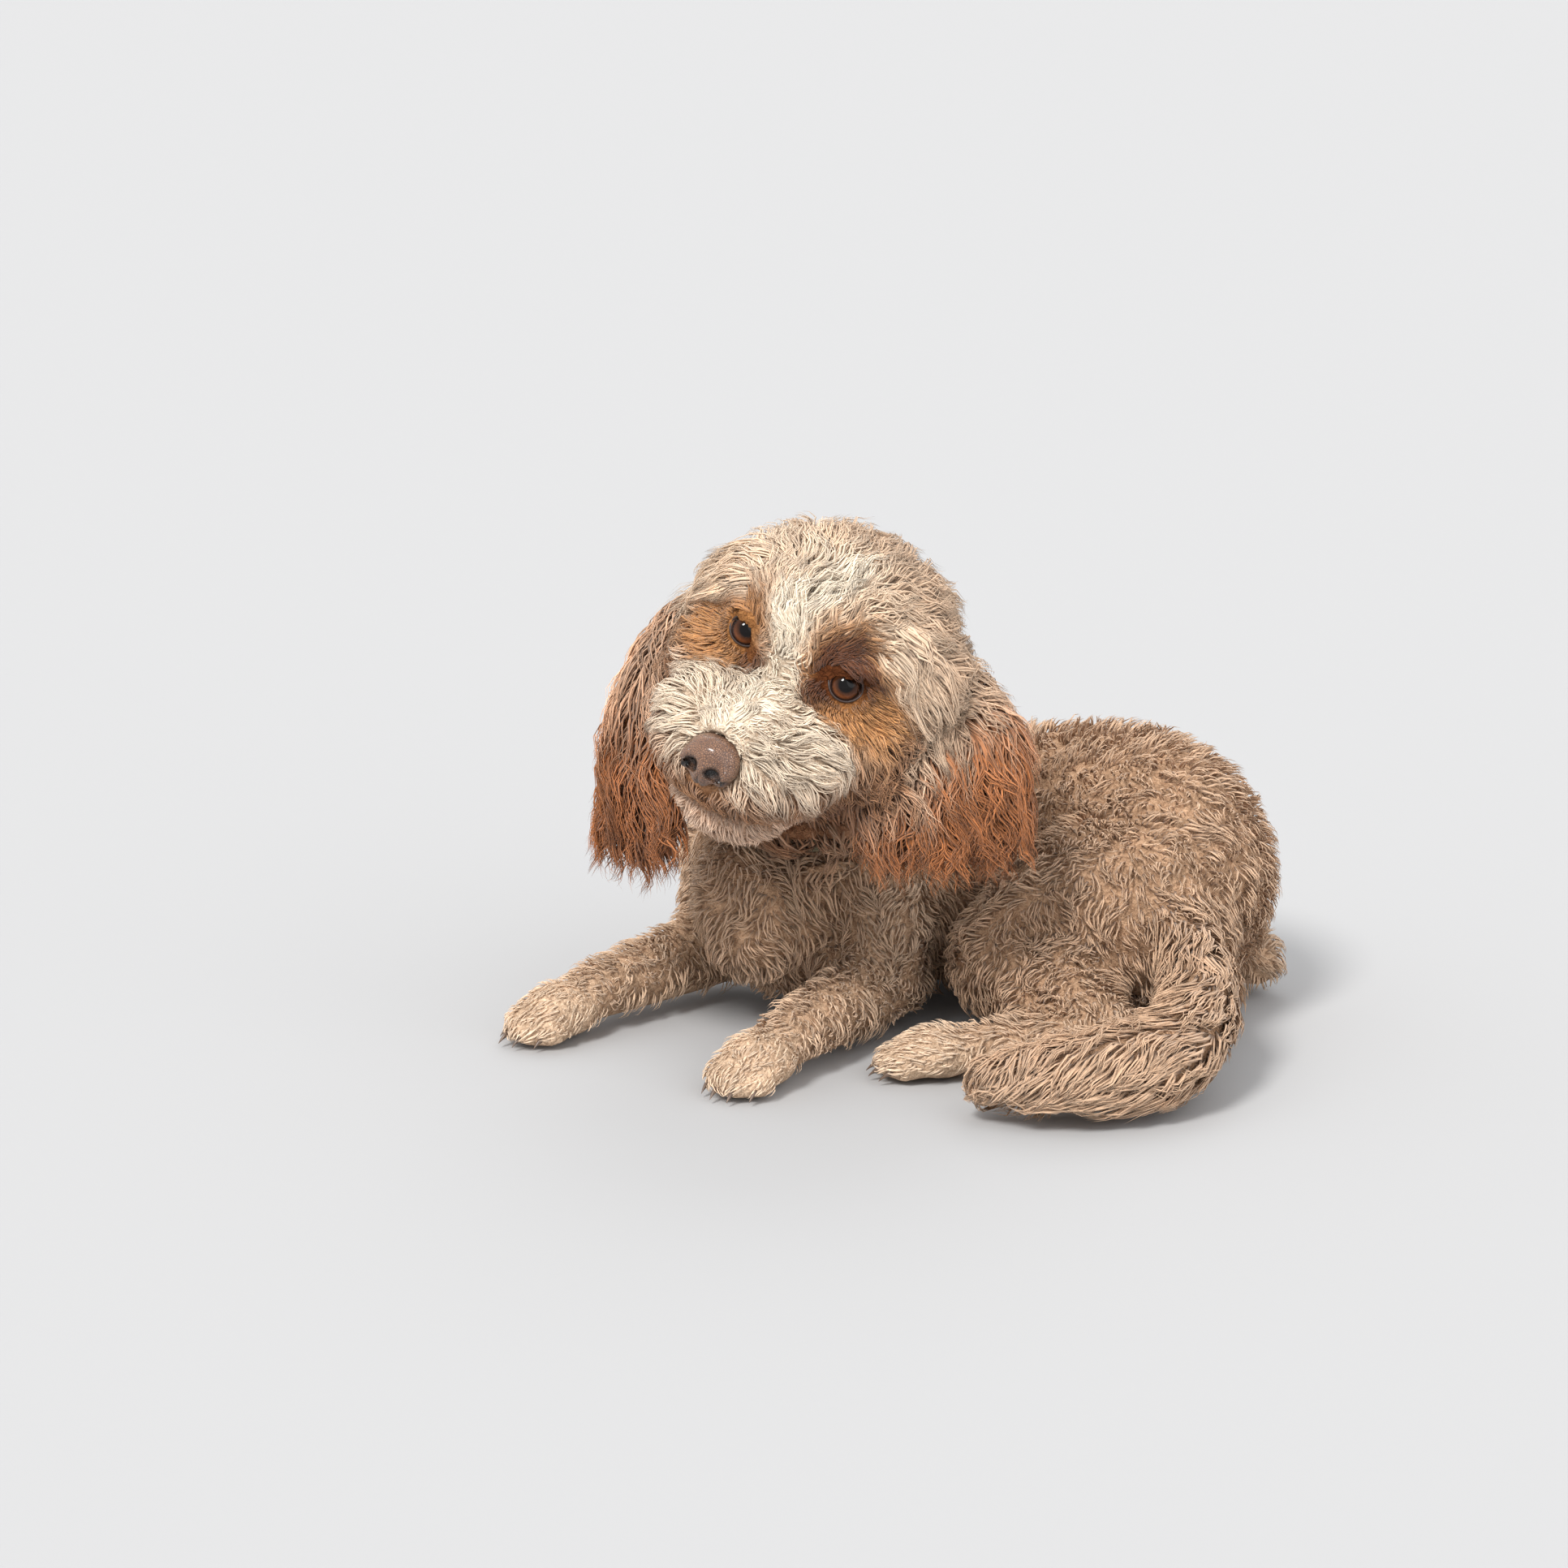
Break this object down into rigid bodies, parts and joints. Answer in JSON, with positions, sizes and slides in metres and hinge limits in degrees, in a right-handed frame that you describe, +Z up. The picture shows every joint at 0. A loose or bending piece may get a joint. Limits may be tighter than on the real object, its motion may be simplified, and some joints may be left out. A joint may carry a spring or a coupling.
{
  "type": "small curly-coated dog, lying, still model",
  "caption": "Life-size still model of a small curly-coated dog lying curled on the floor, head up and tilted, with a collar.",
  "frame": {"origin": "on the floor, under the middle of the dog's bounding box", "axes": "+Z up from the floor; the face looks roughly towards -Y; the rump lies towards +X and the forepaws towards -X"},
  "size_m": [0.422, 0.4268, 0.3091],
  "materials": {
    "coat_cream": "wavy cream coat of the face and crown, with a whiter blaze",
    "coat_fawn": "short plush curly fawn coat",
    "coat_rust": "long wavy rust-coloured hair of the ears",
    "nose": "bare pebbled liver-brown skin, slightly moist",
    "eye": "wet glossy brown eye",
    "collar": "woven olive webbing"
  },
  "bodies": {
    "root": {"head": "coat_cream", "muzzle": "coat_cream", "nose": "nose", "eye_left": "eye", "eye_right": "eye", "ear_left": "coat_rust", "ear_right": "coat_rust", "neck": "coat_fawn", "collar": "collar", "chest": "coat_fawn", "belly": "coat_fawn", "rump": "coat_fawn", "tail_base": "coat_fawn", "tail_tip": "coat_fawn", "foreleg_left": "coat_fawn", "foreleg_right": "coat_fawn", "forepaw_left": "coat_fawn", "forepaw_right": "coat_fawn", "thigh_left": "coat_fawn", "thigh_right": "coat_fawn", "hindleg_left": "coat_fawn", "hindleg_right": "coat_fawn", "hindpaw_left": "coat_fawn", "hindpaw_right": "coat_fawn"}
  },
  "joints": []
}
